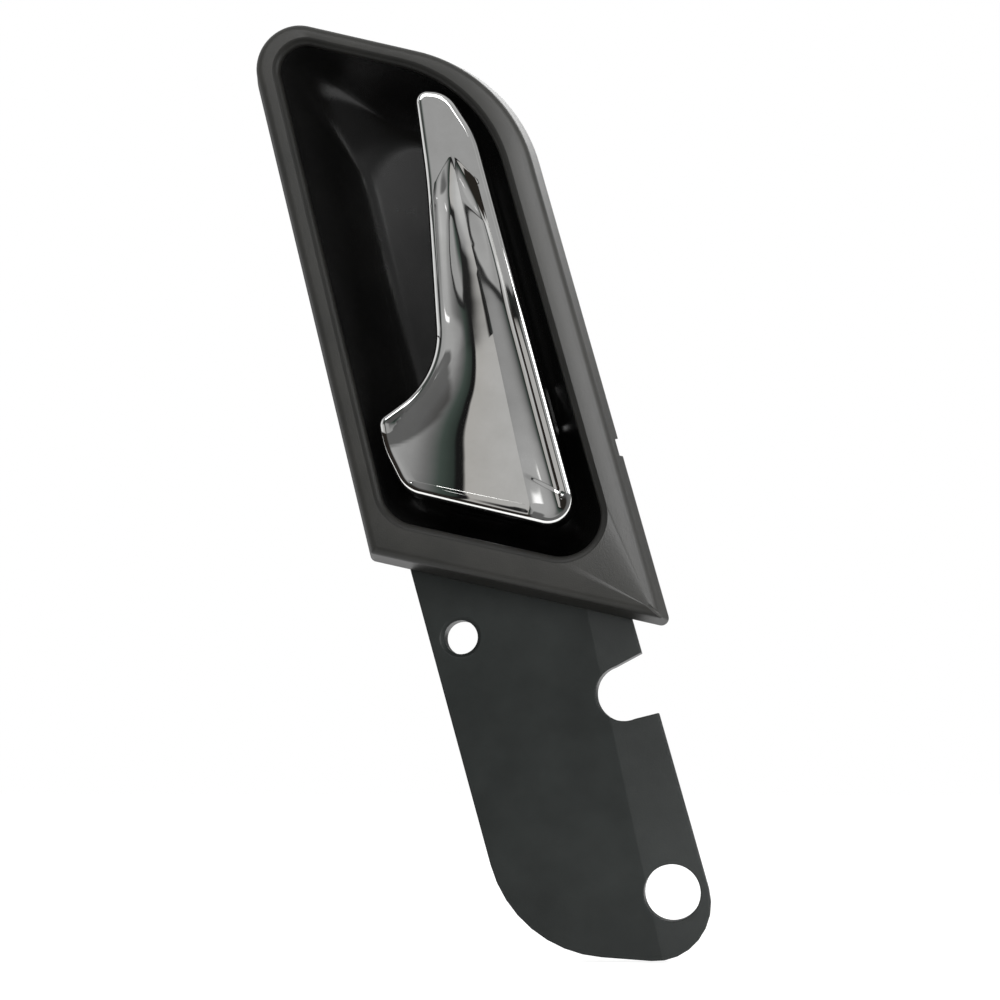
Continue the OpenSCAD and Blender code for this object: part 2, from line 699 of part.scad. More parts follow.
// Screws that hold the shell, the lowest of them clear below the hinge arms' feet
lug_foot = 3;
lever_head_r = 2.4;
low_post_z = pivot_z - eye_r - lug_foot - lever_head_r - 2.1;
low_post = crossing(at(0.633, 0), left_up, [0, low_post_z], [1, 0]);
lever_posts = [at(0.6473, 0.6867), at(0.643, 0.5198), low_post];
lever_post_r = 2.6;
lever_pilot_r = lever_screw_d / 2;
lever_pilot = 2.4;

module lever_shell() {
    color("#c9cccd") difference() {
        union() {
            lever_skin();
            for (p = lever_posts)
                rod(p[0], p[1], inner_y - 0.1, core_front_y, lever_post_r);
        }
        for (p = lever_posts)
            rod(p[0], p[1], core_front_y - lever_pilot, core_front_y + eps, lever_pilot_r);
    }
}

// Crank arm seen along the pin, from the pin to the cable eye
module crank_shape() {
    translate([pivot_y, pivot_z]) circle(eye_r);
    translate([cable_y, pivot_z]) circle(crank_end_r);
    translate([pivot_y, pivot_z - crank_half]) square([crank_l, 2 * crank_half]);
    lug_shape();
}

// Lug seen along the pin, from the lever's back plate to the pin
module lug_shape() {
    translate([pivot_y, pivot_z]) circle(eye_r);
    polygon([[core_back_y, pivot_z - eye_r - lug_foot], [pivot_y, pivot_z - eye_r],
             [pivot_y, pivot_z + eye_r], [core_back_y, pivot_z + eye_r + lug_foot]]);
}

// Running hole for the pin in one arm
module pin_hole(x) {
    bar(x[0] - 1, x[1] + 1) translate([pivot_y, pivot_z]) circle(pin_r + pin_gap);
}

module lever_core() {
    color("#1d1d1e") difference() {
        slab(core_front_y, core_back_y) polygon(rounded(inset(lever_line, shell_t + 0.2), lever_n));
        for (p = lever_posts) rod(p[0], p[1], core_front_y - 1, core_back_y + 1, lever_pilot_r + 0.3);
    }
}

module hinge_arm() {
    color("#1d1d1e") difference() {
        bar(lug_x[0], lug_x[1]) lug_shape();
        pin_hole(lug_x);
    }
}

// Slit below the eye, through which the cable's wire is passed in
slit = 1.8;
module crank_arm() {
    color("#1d1d1e") difference() {
        bar(crank_x[0], crank_x[1]) crank_shape();
        pin_hole(crank_x);
        bar(crank_x[0] - 1, crank_x[1] + 1) translate([cable_y, pivot_z]) circle(cable_eye_d / 2);
        block([cable_x - slit / 2, cable_y - slit / 2, pivot_z - 2 * crank_end_r],
              [cable_x + slit / 2, cable_y + slit / 2, pivot_z]);
    }
}

// Hinge pin with a head on the left and a clip groove on the right
pin_head_r = 4;
pin_head_t = 1.6;
groove_r = pin_r - 0.6;
clip_t = 0.8;
pin_tail = 2.2;
module pin_section() {
    groove_x = ear_out[1] + 0.1;
    end_x = groove_x + clip_t + pin_tail;
    polygon([[0, ear_out[0] - pin_head_t], [pin_head_r - 0.5, ear_out[0] - pin_head_t],
             [pin_head_r, ear_out[0] - pin_head_t + 0.5], [pin_head_r, ear_out[0]],
             [pin_r, ear_out[0]], [pin_r, groove_x], [groove_r, groove_x],
             [groove_r, groove_x + clip_t], [pin_r, groove_x + clip_t],
             [pin_r, end_x - 0.6], [pin_r - 0.6, end_x], [0, end_x]]);
}

module pivot_pin() {
    color("#b4b6b8") translate([0, pivot_y, pivot_z]) rotate([0, 90, 0]) rotate_extrude() pin_section();
}

module pivot_clip() {
    clip_r = pin_r + 2;
    gap = groove_r * 1.3;
    color("#8d8f92") bar(ear_out[1] + 0.1, ear_out[1] + 0.1 + clip_t)
        translate([pivot_y, pivot_z]) difference() {
            circle(clip_r);
            circle(groove_r);
            translate([0, -gap / 2]) square([clip_r + 1, gap]);
            for (a = [120, 240]) rotate(a) translate([pin_r + 0.1, 0]) circle(0.7);
        }
}

// Spring: a coil round the pin, with one leg under the peg and one down the lever
coil_faces = 8;
coil_per_turn = 20;
coil_steps = round(spring_turns * coil_per_turn);
function coil_point(i) = let (a = 90 + 360 * i / coil_per_turn)
    [coil_x + coil_pitch * i / coil_per_turn, pivot_y + coil_r * cos(a), pivot_z + coil_r * sin(a)];
coil_end = coil_point(coil_steps);
spring_path = concat([coil_point(0) + [0, leg_l, 0], coil_point(0) + [0, coil_r / 2, 0]],
    [for (i = [0:coil_steps]) coil_point(i)], [coil_end - [0, 0, coil_r / 2], coil_end - [0, 0, leg_down]]);
function path_dir(i) = unit(spring_path[min(i + 1, len(spring_path) - 1)] - spring_path[max(i - 1, 0)]);
function wire_ring(i) = let (d = path_dir(i), u = unit(cross(d, cross([1, 0, 0], d))), v = cross(d, u))
    [for (k = [0:coil_faces - 1]) let (a = 360 * k / coil_faces)
        spring_path[i] + (u * cos(a) + v * sin(a)) * wire_d / 2];

module return_spring() {
    color("#a3a6a8") loft([for (i = [0:len(spring_path) - 1]) wire_ring(i)]);
}

// Rubber buffer that grips one edge of the window, nose towards the crank
buffer_tail = 3;
module buffer(nose_z, spin) {
    half = frame_t / 2 + buffer_wall;
    tail = edge_grip + buffer_tail;
    bar(window_x[0] + 0.8, window_x[1] - 1.2) translate([frame_mid_y, nose_z]) rotate(spin) difference() {
        union() {
            circle(nose_r);
            polygon([[0.2 - nose_r, 0], [nose_r - 0.2, 0], [half, edge_grip],
                     [half, tail], [-half, tail], [-half, edge_grip]]);
        }
        translate([-frame_t / 2, edge_grip]) square([frame_t, tail]);
    }
}

module rest_buffer() {
    color("#181818") buffer(rest_z, 180);
}

module stop_buffer() {
    color("#181818") buffer(stop_z, 0);
}

// Pan-head screw with a cross recess, its head towards +Y
module screw(x, z, seat, tip, r, head_r, head_h) {
    rec = head_r * 0.9;
    difference() {
        union() {
            rod(x, z, tip, seat, r);
            translate([x, seat, z]) rotate([-90, 0, 0]) rotate_extrude()
                polygon([[0, 0], [head_r, 0], [head_r, head_h * 0.4], [head_r * 0.6, head_h], [0, head_h]]);
        }
        for (a = [0, 90]) translate([x, seat + head_h - rec / 2, z]) rotate([0, a + 20, 0])
            translate([-rec / 2, 0, -rec / 8]) cube([rec, rec, rec / 4]);
    }
}

module cover_screws() {
    color("#5c5f62") for (p = posts)
        screw(p[0], p[1], frame_back_y, frame_y - pilot_depth + 0.4, pilot_r, screw_head_d / 2, 2.4);
}

module lever_screws() {
    color("#5c5f62") for (p = lever_posts)
        screw(p[0], p[1], core_back_y, core_front_y - lever_pilot + 0.3, lever_pilot_r, lever_head_r, 1.5);
}

// Foam strip under the rim, round three sides of the bowl
foam_gap = 0.3;
foam_top = 27;
module rim_foam() {
    p = beside(tl, along_top, 0, foam_top);
    color("#3a3a3a") slab(face_y + skin_t, plate_y) difference() {
        polygon(rounded(inset(rim, skin_t + flare + foam_gap)));
        polygon(rounded(inset(mouth, -skin_t - foam_gap)));
        translate(p) rotate(-top_fall) translate([-far, 0]) square(2 * far);
    }
}

// Felt pads that bear on the door's inner panel
pad_t = 1.5;
pad_half = [5, 4];
pad_gap = 2.5;
pad_low = [cable_x - abut_half - pad_gap - pad_half[0], abut_z + abut_t + gusset_rise];
pad_at = [at(0.3169, 0.8384), pad_low];
module felt_pads() {
    color("#55524d") for (p = pad_at) let (lo = p - pad_half, hi = p + pad_half)
        block([lo[0], frame_back_y, lo[1]], [hi[0], frame_back_y + pad_t, hi[1]]);
}

bezel();
finger_bowl();
base_plate();
rear_frame();
cable_bracket();
lever_shell();
lever_core();
hinge_arm();
crank_arm();
pivot_pin();
pivot_clip();
return_spring();
rest_buffer();
stop_buffer();
cover_screws();
lever_screws();
rim_foam();
felt_pads();
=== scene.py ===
"""Looks of a car's interior door handle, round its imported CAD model.

Metres throughout: X runs right across the door, Z is up and the front faces -Y.
Outlines are worked out in millimetres, as in the part's source, and scaled when a mesh is made.
"""
import math

import bmesh
import bpy
import numpy as np
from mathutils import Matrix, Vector


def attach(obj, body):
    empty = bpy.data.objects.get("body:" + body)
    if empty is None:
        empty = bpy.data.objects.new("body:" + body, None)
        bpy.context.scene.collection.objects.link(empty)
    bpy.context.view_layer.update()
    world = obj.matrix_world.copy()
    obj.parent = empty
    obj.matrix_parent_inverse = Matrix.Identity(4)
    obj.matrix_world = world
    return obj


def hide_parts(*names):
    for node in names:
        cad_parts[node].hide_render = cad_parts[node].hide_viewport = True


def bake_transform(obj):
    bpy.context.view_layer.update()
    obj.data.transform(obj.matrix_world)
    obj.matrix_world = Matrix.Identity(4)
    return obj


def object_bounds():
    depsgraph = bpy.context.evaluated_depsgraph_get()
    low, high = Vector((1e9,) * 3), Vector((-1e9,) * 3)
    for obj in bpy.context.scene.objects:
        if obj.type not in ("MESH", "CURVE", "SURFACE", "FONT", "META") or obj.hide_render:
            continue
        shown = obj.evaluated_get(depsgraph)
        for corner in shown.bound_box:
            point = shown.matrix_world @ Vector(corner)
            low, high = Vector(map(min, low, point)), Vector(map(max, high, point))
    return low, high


MM = 0.001

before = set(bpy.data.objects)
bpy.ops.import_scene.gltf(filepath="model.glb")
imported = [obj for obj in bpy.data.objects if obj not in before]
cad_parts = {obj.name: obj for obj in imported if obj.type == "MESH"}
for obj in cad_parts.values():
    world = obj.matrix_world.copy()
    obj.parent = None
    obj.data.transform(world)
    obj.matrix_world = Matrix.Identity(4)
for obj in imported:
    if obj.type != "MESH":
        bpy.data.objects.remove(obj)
cad_box = [list(corner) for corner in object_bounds()]
scene = bpy.context.scene


# Plane outlines: clockwise corners (x, z, radius), as in the part's source

SMALLEST_R = 0.6


def unit(v):
    return v / np.linalg.norm(v)


def inward(d):
    return np.array([d[1], -d[0]])


def turn(a, b):
    return a[0] * b[1] - a[1] * b[0]


def crossing(p, d, q, e):
    return p + d * (turn(q - p, e) / turn(d, e))


def inset(corners, distance):
    """The outline with each edge moved inwards, by one distance or by one for each edge."""
    n = len(corners)
    gaps = [distance] * n if np.isscalar(distance) else list(distance)
    out = []
    for i, c in enumerate(corners):
        here = np.array(c[:2])
        a = unit(here - np.array(corners[i - 1][:2]))
        b = unit(np.array(corners[(i + 1) % n][:2]) - here)
        p, q = inward(a), inward(b)
        d0, d1 = gaps[i - 1], gaps[i]
        k = turn(p, q)
        change = (d0 + d1) / 2
        r = c[2] - change if turn(a, b) < 0 else c[2] + change
        out.append((here[0] + (d0 * q[1] - d1 * p[1]) / k, here[1] + (p[0] * d1 - q[0] * d0) / k,
                    max(r, SMALLEST_R)))
    return out


def with_radii(corners, radii):
    return [(c[0], c[1], r) for c, r in zip(corners, radii)]


def corner_arc(before, corner, after, steps):
    """Points of the arc that rounds one corner."""
    here = np.array(corner[:2])
    a = unit(here - np.array(before[:2]))
    b = unit(np.array(after[:2]) - here)
    s = 1 if turn(a, b) < 0 else -1
    phi = math.acos(min(1.0, float(a @ b)))
    start = here - a * corner[2] * math.tan(phi / 2)
    mid = start + s * corner[2] * inward(a)
    arm = start - mid
    out = []
    for k in range(steps + 1):
        t = -s * phi * k / steps
        out.append(mid + np.array([arm[0] * math.cos(t) - arm[1] * math.sin(t),
                                   arm[0] * math.sin(t) + arm[1] * math.cos(t)]))
    return out


def arcs_of(corners, steps):
    n = len(corners)
    return [corner_arc(corners[i - 1], corners[i], corners[(i + 1) % n], steps) for i in range(n)]


def rounded(corners, steps, cuts):
    """Outline points: an arc at each corner, and each straight side cut into equal steps."""
    arcs = arcs_of(corners, steps)
    n = len(corners)
    out = []
    for i in range(n):
        out += arcs[i]
        a, b = arcs[i][-1], arcs[(i + 1) % n][0]
        out += [a + (b - a) * k / cuts[i] for k in range(1, cuts[i])]
    return out


def raised(points, y):
    return [(p[0], y, p[1]) for p in points]


# Meshes

def new_object(name, verts, faces, material_of=None, materials=()):
    mesh = bpy.data.meshes.new(name)
    mesh.from_pydata([tuple(c * MM for c in v) for v in verts], [], faces)
    for m in materials:
        mesh.materials.append(m)
    if material_of:
        mesh.polygons.foreach_set("material_index", [material_of[i] for i in range(len(faces))])
    mesh.validate()
    obj = bpy.data.objects.new(name, mesh)
    scene.collection.objects.link(obj)
    return obj


def smooth(obj, angle):
    """Smooth shading, with edges sharper than the angle kept crisp."""
    bm = bmesh.new()
    bm.from_mesh(obj.data)
    bm.normal_update()
    for f in bm.faces:
        f.smooth = True
    for e in bm.edges:
        e.smooth = not (len(e.link_faces) == 2 and e.calc_face_angle(0) > math.radians(angle))
    bm.to_mesh(obj.data)
    bm.free()


def cut(obj, tools, operation="DIFFERENCE"):
    """Cuts solids from obj, or joins them to it, and removes them."""
    for tool in tools:
        mod = obj.modifiers.new("cut", "BOOLEAN")
        mod.operation = operation
        mod.solver = "EXACT"
        mod.object = tool
        with bpy.context.temp_override(object=obj, active_object=obj):
            bpy.ops.object.modifier_apply(modifier=mod.name)
        mesh = tool.data
        bpy.data.objects.remove(tool)
        bpy.data.meshes.remove(mesh)


def block(lo, hi, spin=None):
    """A box by two corners in millimetres, turned about the Y axis through spin = (x, z, degrees)."""
    corners = [(x, y, z) for x in (lo[0], hi[0]) for y in (lo[1], hi[1]) for z in (lo[2], hi[2])]
    if spin:
        a = math.radians(spin[2])
        corners = [(spin[0] + x * math.cos(a) + z * math.sin(a), y,
                    spin[1] - x * math.sin(a) + z * math.cos(a)) for x, y, z in corners]
    faces = [(0, 1, 3, 2), (4, 6, 7, 5), (0, 4, 5, 1), (2, 3, 7, 6), (0, 2, 6, 4), (1, 5, 7, 3)]
    return new_object("tool", corners, faces)


def rod(x, z, front, back, r, sides=48):
    """A round rod along Y."""
    ring = [(x + r * math.cos(2 * math.pi * k / sides), z + r * math.sin(2 * math.pi * k / sides))
            for k in range(sides)]
    verts = [(p[0], front, p[1]) for p in ring] + [(p[0], back, p[1]) for p in ring]
    faces = [(k, (k + 1) % sides, sides + (k + 1) % sides, sides + k) for k in range(sides)]
    faces += [tuple(range(sides - 1, -1, -1)), tuple(range(sides, 2 * sides))]
    return new_object("tool", verts, faces)


# The surround: sizes in millimetres, as in the part's source

FACE_Y, RIM_BACK_Y, FRAME_Y = -18.0, -8.5, 18.8   # the face, the rim's back and the rear frame
SKIN = 2.2                                        # wall of the surround
FLARE, EDGE_R = 1.4, 2.4                          # slope and rounding of the rim's outer wall
MOUTH_R, BOWL_D = 2.0, 32.0                       # rounding of the bowl's mouth, and its depth
RIM_START = (-24.5, 21.0)                         # lower left corner
LEFT_TURN, RIGHT_TURN, LOW_TURN, HIGH_TURN = 13.9, 15.4, 13.1, 15.1   # lean of each side, degrees
RIM_TALL, RIM_WIDE = 161, 84                      # left and lower sides
TOP_LEFT_R, TOP_RIGHT_R, LOW_R = 13.5, 46.0, 2.0
LIPS = (7.0, 9.5, 11.5, 8.0)                      # face beside the mouth: top, right, low and left
SCOOP = (14.0, 10.0, 10.0, 16.0)                  # how far each wall of the bowl runs in
MOUTH_RADII, FLOOR_RADII = (7.0, 41.0, 10.8, 11.0), (11.0, 22.0, 9.0, 12.0)
RIGHT_LEAN, PROBE = 2.0, 2                        # lean of the rim's right side; a step inwards
NICK_UP, NICK_WIDE, NICK_IN, NICK_DEEP = 51, 2.5, 0.8, 4
POSTS = ((-43, 146, 9.7), (0, 139, 14.3), (31.5, 40, 14.0), (-21, 66, 11.8))   # x, z and front
POST_R, POST_HOLE_R, POST_HOLE_DEEP = 3.4, 1.4, 4
LEVER_SLOT = ((-10.5, 11, 44), (21.5, 17.2, 59.5))
CRANK_SLOT = ((11.2, 11, 44.2), (18.2, 17.3, 70.45))
PAST = 1                                          # how far a cutting tool runs past the wall
CREASE, LEVER_CREASE, WIRE_CREASE = 30, 18, 50    # sharper edges than this stay crisp
ARC, BOWL_STEPS, EDGE_STEPS = 24, 40, 8           # steps round a corner, down the bowl, over an edge
SIDES = (24, 40, 24, 48)                          # steps along each straight side


def quarter(k, steps):
    """Angle of step k over a quarter turn."""
    return math.radians(90 * k / steps)


def heading(degrees):
    """The direction that leans so far to the left of straight up."""
    a = np.radians(degrees)
    return np.array([-math.sin(a), math.cos(a)])


def rim_outline():
    """The rim's corners, its lower right corner and the way up its right side."""
    low_left = np.array(RIM_START)
    right_up = heading(RIGHT_TURN)
    top_left = low_left + heading(LEFT_TURN) * RIM_TALL
    low_right = low_left + inward(heading(-LOW_TURN)) * RIM_WIDE
    top_right = crossing(top_left, inward(heading(-HIGH_TURN)), low_right, right_up)
    corners = [(*top_left, TOP_LEFT_R), (*top_right, TOP_RIGHT_R),
               (*low_right, LOW_R), (*low_left, LOW_R)]
    return corners, low_right, right_up


def over_edge(k, radius):
    """How far in and how deep step k lies on a rounded edge."""
    a = quarter(k, EDGE_STEPS)
    return radius * (1 - math.sin(a)), radius * (1 - math.cos(a))


def outline(corners, y):
    return raised(rounded(corners, ARC, SIDES), y)


RIM, RIM_LOW_RIGHT, RIGHT_UP = rim_outline()
MOUTH = with_radii(inset(RIM, LIPS), MOUTH_RADII)


def mouth_lip():
    """Rings over the rounded mouth, from the face down to the bowl's wall."""
    rings = []
    for k in range(EDGE_STEPS + 1):
        run, depth = over_edge(k, MOUTH_R)
        rings.append(outline(inset(MOUTH, -run), FACE_Y + depth))
    return rings


def bowl_ring(k, wall):
    """Step k down the bowl, on its inner face or a wall's thickness outside it."""
    a = quarter(k, BOWL_STEPS)
    run = 1 - math.cos(a)
    depth = MOUTH_R + (BOWL_D - MOUTH_R + wall) * math.sin(a)
    radii = [m + (f - m) * run + wall for m, f in zip(MOUTH_RADII, FLOOR_RADII)]
    shape = with_radii(inset(MOUTH, [e * run - wall for e in SCOOP]), radii)
    return outline(shape, FACE_Y + depth)


def skin(name, rings, materials, kinds=None, closed=False):
    """A mesh over rings of equal length, capped at both ends or closed into a band."""
    n, rows = len(rings[0]), len(rings)
    verts = [v for ring in rings for v in ring]
    faces, kind_of = [], []
    for i in range(rows if closed else rows - 1):
        below = (i + 1) % rows
        for j in range(n):
            b = (j + 1) % n
            faces.append((i * n + j, below * n + j, below * n + b, i * n + b))
            kind_of.append(kinds[i] if kinds else 0)
    if not closed:
        last = (rows - 1) * n
        faces += [tuple(range(n)), tuple(range(last + n - 1, last - 1, -1))]
        kind_of += [kinds[0], kinds[-1]] if kinds else [0, 0]
    return new_object(name, verts, faces, kind_of, materials)


LIP = mouth_lip()
UNDER = outline(inset(MOUTH, -SKIN), FACE_Y + SKIN)


def right_lean():
    """How far each point round the rim leans back: only the right side does."""
    side = np.array([RIGHT_UP[1], -RIGHT_UP[0]])
    out = []
    for a, b in zip(outline(RIM, 0), outline(inset(RIM, PROBE), 0)):
        outward = unit(np.array([a[0] - b[0], a[2] - b[2]]))
        out.append(RIGHT_LEAN * max(0, outward @ side) ** 2)
    return out


def make_bezel(trim):
    """The surround's face and outer wall, with the nick in its right side."""
    lean = right_lean()
    rings = [LIP[0]]
    for k in range(EDGE_STEPS + 1):
        run, depth = over_edge(k, EDGE_R)
        ring = outline(inset(RIM, FLARE + run), FACE_Y + depth)
        rings.append([(x, y + drop, z) for (x, y, z), drop in zip(ring, lean)])
    rings += [outline(RIM, RIM_BACK_Y), outline(inset(RIM, SKIN), RIM_BACK_Y),
              outline(inset(RIM, SKIN + FLARE), FACE_Y + SKIN), UNDER]
    obj = skin("bezel_cover", rings, (trim,), None, True)
    nick_at = RIM_LOW_RIGHT + RIGHT_UP * NICK_UP
    nick = block((-NICK_IN, RIM_BACK_Y - NICK_DEEP, -NICK_WIDE),
                 (2 * PAST, RIM_BACK_Y + PAST, NICK_WIDE), (*nick_at, -RIGHT_TURN))
    cut(obj, [nick])
    smooth(obj, CREASE)
    return obj


def make_bowl(trim, bowl):
    """The bowl with the mouth's rounding, its posts, and the slots for the lever's arm and crank."""
    rings = [bowl_ring(k, 0) for k in range(BOWL_STEPS, -1, -1)]
    kinds = [1] * BOWL_STEPS + [0] * (EDGE_STEPS + 1)
    rings += LIP[EDGE_STEPS - 1::-1] + [UNDER]
    rings += [bowl_ring(k, SKIN) for k in range(1, BOWL_STEPS + 1)]
    kinds += [0] * (len(rings) - len(kinds))
    obj = skin("bowl_liner", rings, (trim, bowl), kinds)
    cut(obj, [rod(x, z, front, FRAME_Y, POST_R) for x, z, front in POSTS], "UNION")
    tools = [rod(x, z, FRAME_Y - POST_HOLE_DEEP, FRAME_Y + PAST, POST_HOLE_R) for x, z, _ in POSTS]
    cut(obj, tools + [block(*LEVER_SLOT), block(*CRANK_SLOT)])
    smooth(obj, CREASE)
    return obj


# The plated lever cover: corners clockwise from the tip, and the ridge from the tip down

LEVER = ((-12.2, 150.6, 3.2), (-2.6, 149.7, 9), (5.2, 137.3, 30), (34.4, 26.6, 7), (-14.5, 38.9, 9),
         (-20.2, 50.5, 25), (-21.6, 58.6, 3.2), (-5, 70.4, 23), (-8.6, 124, 200))
SHOULDER, LOW_RIGHT, LOW_LEFT, NECK = 2, 3, 4, 8       # corners where the two sides of the fold end
RIDGE = np.array([(-1.5, 132), (4.1, 105.9), (9, 85.8), (16.5, 50.4), (20.0, 34.6)])
SHELL, LEVER_H, LEVER_EDGE, BORDER = 2.0, 7.5, 1.8, 1.2
FOLD_RUN, FOLD_SWELL, FOLD_FADE = 5, 0.6, 4            # ridge steps over which the fold opens
NECK_HOLLOW, NECK_SKEW, NECK_Z, NECK_BLEND = 0.6, 0.8, 66, 24
RIGHT_HOLLOW, RIGHT_POWER, BOOT_SLOPE, RIDGE_DROP = 1.1, 0.45, 0.20, 0.5
STRIP_DROP, STRIP_Z, STRIP_BLEND = 0.2, 95, 25
STRIP_PARTS = (1, 0.6, 0.25)                           # rings across the border, as shares of its width
BOOT_Z, BOOT_LEAN, SOFTEN, LEFT_RUN_ON, SIDE_RUN_ON = 57, 0.2, 6, 30, 20
FIELD_STEPS, REAR_SHARES = 22, (0.16, 0.45)            # rings over the face, and behind it
DRAFT, LEDGE = 0.4, 0.6                                # slope of the side wall, step inside the shell
LEVER_POSTS = ((1.9, 116), (8, 90), (19.6, 40))
LEVER_POST_R, LEVER_POST_Y, LEVER_HOLE_R, LEVER_HOLE_Y = 2.6, -13.3, 1.1, -15.7
OVERLAP, LEVER_POST_SIDES = 0.1, 32

# Points along the outline: steps round each corner, then along the side after it. The left side of the
# fold has as many points as the right one, so each joins the same number of ridge points.
FINE = 4
CORNER_STEPS = 6 * FINE
LEFT_SIDES = [1 * FINE, 1 * FINE, 2 * FINE, 8 * FINE]
FOLD_STEP = 3 * FINE
LEFT_COUNT = (NECK - LOW_LEFT) * CORNER_STEPS + sum(LEFT_SIDES)
RIGHT_SIDE = LEFT_COUNT - CORNER_STEPS // 2 + FOLD_STEP
LEVER_CUTS = [FINE, FINE, RIGHT_SIDE, 10 * FINE] + LEFT_SIDES + [5 * FINE]


def ring_start(corner):
    return sum(CORNER_STEPS + c for c in LEVER_CUTS[:corner])


RING_LEN = ring_start(len(LEVER))
RIGHT_FIRST = ring_start(SHOULDER) + CORNER_STEPS + FOLD_STEP
RIGHT_LAST = ring_start(LOW_RIGHT) + CORNER_STEPS // 2
LEFT_FIRST = ring_start(LOW_LEFT) + CORNER_STEPS // 2
LEFT_LAST = ring_start(NECK) + CORNER_STEPS // 2
RIDGE_N = RIGHT_LAST - RIGHT_FIRST


def lever_ring(distance, y):
    """The lever's outline, moved in by a distance."""
    points = []
    arcs = arcs_of(inset(LEVER, distance), CORNER_STEPS)
    for i, arc in enumerate(arcs):
        points += arc
        a, b = arc[-1], arcs[(i + 1) % len(arcs)][0]
        points += [a + (b - a) * k / LEVER_CUTS[i] for k in range(1, LEVER_CUTS[i])]
    return raised(points, y)


def ridge_point(f):
    """The point at share f of the ridge's length."""
    steps = np.linalg.norm(np.diff(RIDGE, axis=0), axis=1)
    total = np.concatenate([[0], np.cumsum(steps)])
    s = f * total[-1]
    return np.array([np.interp(s, total, RIDGE[:, 0]), np.interp(s, total, RIDGE[:, 1])])


def ridge_index(j):
    """The ridge point that outline point j is joined to."""
    if RIGHT_FIRST <= j <= RIGHT_LAST:
        return j - RIGHT_FIRST
    if RIGHT_LAST < j < LEFT_FIRST:
        return RIDGE_N
    if LEFT_FIRST <= j <= LEFT_LAST:
        return LEFT_LAST - j
    return 0


def sections():
    """The inner left edge, the ridge and the inner right edge, each as x against z."""
    edge = lever_ring(LEVER_EDGE + BORDER, 0)
    left = [(z, x) for x, _, z in (edge[j] for j in range(LEFT_FIRST, LEFT_LAST + 1)) if z > BOOT_Z]
    side = [(z, x) for x, _, z in (edge[j] for j in range(RIGHT_FIRST, ring_start(LOW_RIGHT)))]
    left.append((BOOT_Z - LEFT_RUN_ON, min(x for _, x in left) - LEFT_RUN_ON * BOOT_LEAN))
    slope = (side[-1][1] - side[0][1]) / (side[0][0] - side[-1][0])
    side.append((side[-1][0] - SIDE_RUN_ON, side[-1][1] + SIDE_RUN_ON * slope))
    middle = [(z, x) for x, z in RIDGE]
    left, middle, side = (np.array(sorted(curve)).T for curve in (left, middle, side))
    heights = np.arange(left[0][0], left[0][-1])
    soft = np.pad(np.interp(heights, *left), SOFTEN, mode="edge")
    left = np.array([heights, np.convolve(soft, np.ones(2 * SOFTEN + 1) / (2 * SOFTEN + 1), "valid")])
    return [left, middle, side]


SECTIONS = sections()


def eased(value):
    """0 below 0 and 1 above 1, with a smooth run between them."""
    value = min(1, max(0, value))
    return value * value * (3 - 2 * value)


def fold(k):
    """How far the face has dropped below the fold at ridge point k."""
    step = k / FINE
    swell = 1 + FOLD_SWELL * math.exp(-((step - FOLD_RUN) / FOLD_FADE) ** 2)
    return (1 - (1 - min(1, step / FOLD_RUN)) ** 2) * swell


def hollow(k, s, x, z):
    """Depth of the face at a point, on the way s from the border to ridge point k.

    The neck's hollow is deepest near its left edge and comes up slowly to the ridge."""
    left, middle, right = (np.interp(z, *curve) for curve in SECTIONS)
    if x < middle:
        share = min(1, max(0, (x - left) / (middle - left)))
        neck = eased((z - NECK_Z) / NECK_BLEND)
        skewed = share / (share + (1 - share) * NECK_SKEW)
        depth = ((1 - neck) * BOOT_SLOPE * (middle - left) * share * (1 - share)
                 + neck * NECK_HOLLOW * math.sin(math.pi * skewed))
    else:
        share = min(1, max(0, (right - x) / (right - middle)))
        depth = RIGHT_HOLLOW * math.sin(math.pi * share ** RIGHT_POWER)
    return fold(k) * depth + min(1, fold(k)) * RIDGE_DROP * math.sin(math.pi * k / RIDGE_N) * s


def strip_depth(j, z):
    """Depth of the border's inner edge, which slopes in on the left and low on the right."""
    if LEFT_FIRST <= j <= LEFT_LAST:
        share = min(1, fold(LEFT_LAST - j))
    elif RIGHT_FIRST <= j < ring_start(LOW_RIGHT):
        share = eased((STRIP_Z - z) / STRIP_BLEND)
    else:
        share = 0
    return STRIP_DROP * share


def lever_rings(edge, ridge, inner):
    """Rings from beside the ridge, over the border and the edge, and back inside the shell."""
    strips = [strip_depth(j, e[2]) for j, e in enumerate(edge)]
    run_out = [hollow(ridge_index(j), 0, e[0], e[2]) for j, e in enumerate(edge)]

    def field(s, y):
        out = []
        for j, e in enumerate(edge):
            k = ridge_index(j)
            q = ridge[k]
            x, z = e[0] + (q[0] - e[0]) * s, e[2] + (q[1] - e[2]) * s
            out.append((x, y + hollow(k, s, x, z) + strips[j] * (1 - s), z))
        return out

    def strip(inset_by, y, slope=0):
        return [(p[0], p[1] + run_out[j] + strips[j] * slope, p[2])
                for j, p in enumerate(lever_ring(inset_by, y))]

    back = FACE_Y + LEVER_H
    rings = [field(1 - (i + 1) / FIELD_STEPS, FACE_Y) for i in range(FIELD_STEPS - 1)]
    rings += [strip(LEVER_EDGE + BORDER * part, FACE_Y, part) for part in STRIP_PARTS]
    for k in range(EDGE_STEPS + 1):
        run, depth = over_edge(k, LEVER_EDGE)
        rings.append(strip(run, FACE_Y + depth))
    rings += [lever_ring(-DRAFT, back), lever_ring(SHELL - DRAFT, back), lever_ring(SHELL, inner + LEDGE),
              lever_ring(LEVER_EDGE + BORDER, inner)]
    return rings + [field(s, inner) for s in REAR_SHARES]


